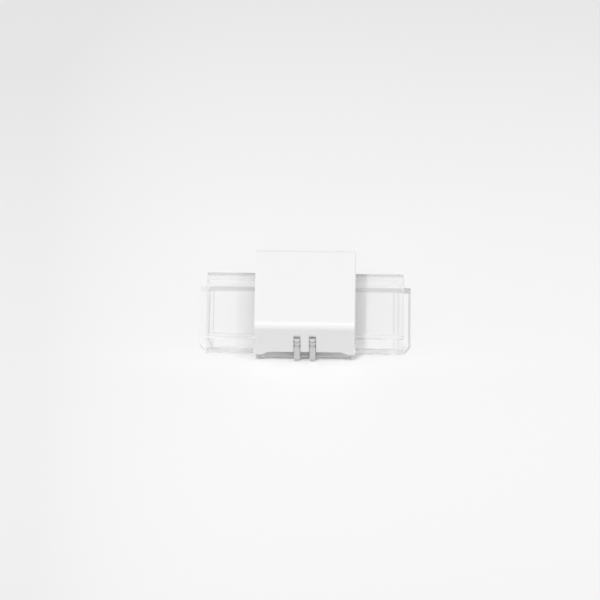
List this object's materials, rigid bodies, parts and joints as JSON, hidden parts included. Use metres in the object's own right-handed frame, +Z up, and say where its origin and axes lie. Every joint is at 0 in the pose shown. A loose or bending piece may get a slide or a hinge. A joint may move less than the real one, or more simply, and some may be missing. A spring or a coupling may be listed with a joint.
{
  "type": "led strip connector",
  "caption": "Solderless connector for flat LED strips: clear sleeve with a press-down cap and piercing contacts.",
  "frame": {"origin": "middle of the underside", "axes": "+X along the strips, -Y the front, +Z up"},
  "size_m": [0.0274, 0.013, 0.0076],
  "materials": {
    "clear_housing": "clear moulded polycarbonate",
    "white_cap": "fine satin white",
    "contact_metal": "matt tin plate"
  },
  "bodies": {
    "housing": {"base_housing": "clear_housing", "contact_front": "contact_metal", "contact_back": "contact_metal"},
    "cap": {"press_cap": "white_cap"}
  },
  "joints": [
    {"name": "cap_press", "type": "slide", "parent": "housing", "child": "cap", "axis": [0, 0, 1], "range_m": [-0.0007, 0]}
  ]
}
